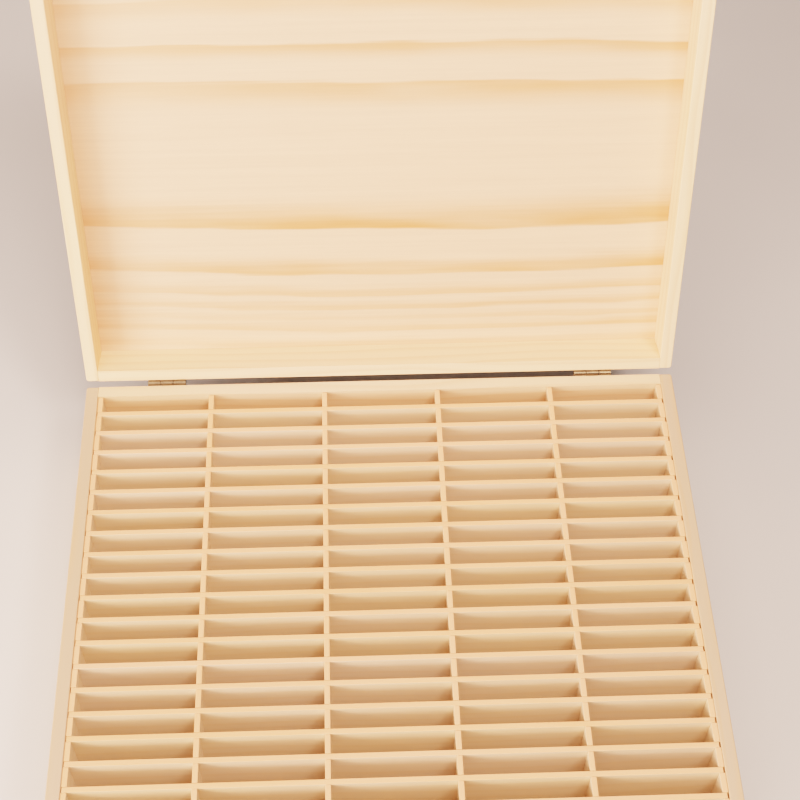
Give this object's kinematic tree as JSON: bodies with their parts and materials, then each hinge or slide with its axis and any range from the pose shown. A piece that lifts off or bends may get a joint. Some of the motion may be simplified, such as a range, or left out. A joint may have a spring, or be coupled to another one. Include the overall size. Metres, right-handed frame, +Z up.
{
  "type": "coin slab storage box",
  "caption": "Hinged pine box with an egg-crate grid of halved dividers that holds graded coin slabs upright; brass stop hinges and a swing-hook latch.",
  "frame": {"origin": "centre of the box's underside", "axes": "+X along the hinges to the right, +Y to the rear where the hinges are, +Z up"},
  "size_m": [0.36, 0.4134, 0.3543],
  "materials": {
    "pine": "sanded, unvarnished pine",
    "board": "sanded wide pine board",
    "divider": "sawn thin wood strip",
    "brass": "dull brass-plated sheet"
  },
  "bodies": {
    "base": {"floor_panel": "board", "front_wall": "pine", "rear_wall": "pine", "left_wall": "pine", "right_wall": "pine", "left_side_panel": "divider", "right_side_panel": "divider", "column_divider_1": "divider", "column_divider_2": "divider", "column_divider_3": "divider", "column_divider_4": "divider", "cross_divider_1": "divider", "cross_divider_2": "divider", "cross_divider_3": "divider", "cross_divider_4": "divider", "cross_divider_5": "divider", "cross_divider_6": "divider", "cross_divider_7": "divider", "cross_divider_8": "divider", "cross_divider_9": "divider", "cross_divider_10": "divider", "cross_divider_11": "divider", "cross_divider_12": "divider", "cross_divider_13": "divider", "cross_divider_14": "divider", "cross_divider_15": "divider", "cross_divider_16": "divider", "cross_divider_17": "divider", "cross_divider_18": "divider", "cross_divider_19": "divider", "left_hinge_base_leaf": "brass", "left_hinge_pin": "brass", "right_hinge_base_leaf": "brass", "right_hinge_pin": "brass", "base_hinge_screws": "brass", "keeper_plate": "brass", "keeper_peg": "brass", "keeper_screws": "brass"},
    "lid": {"lid_front_rail": "pine", "lid_rear_rail": "pine", "lid_left_rail": "pine", "lid_right_rail": "pine", "lid_panel": "board", "left_hinge_lid_leaf": "brass", "right_hinge_lid_leaf": "brass", "lid_hinge_screws": "brass", "latch_plate": "brass", "latch_rivet": "brass", "latch_plate_screws": "brass"},
    "hook": {"latch_hook": "brass"}
  },
  "joints": [
    {"name": "lid_hinge", "type": "hinge", "parent": "base", "child": "lid", "pos_m": [0, 0.1481, 0.07315], "axis": [1, 0, 0], "range_deg": [0, 107.5]},
    {"name": "hook_swing", "type": "hinge", "parent": "lid", "child": "hook", "pos_m": [0, 0.24717, 0.35029], "axis": [0, -0.3007, -0.9537], "range_deg": [0, 90]}
  ]
}
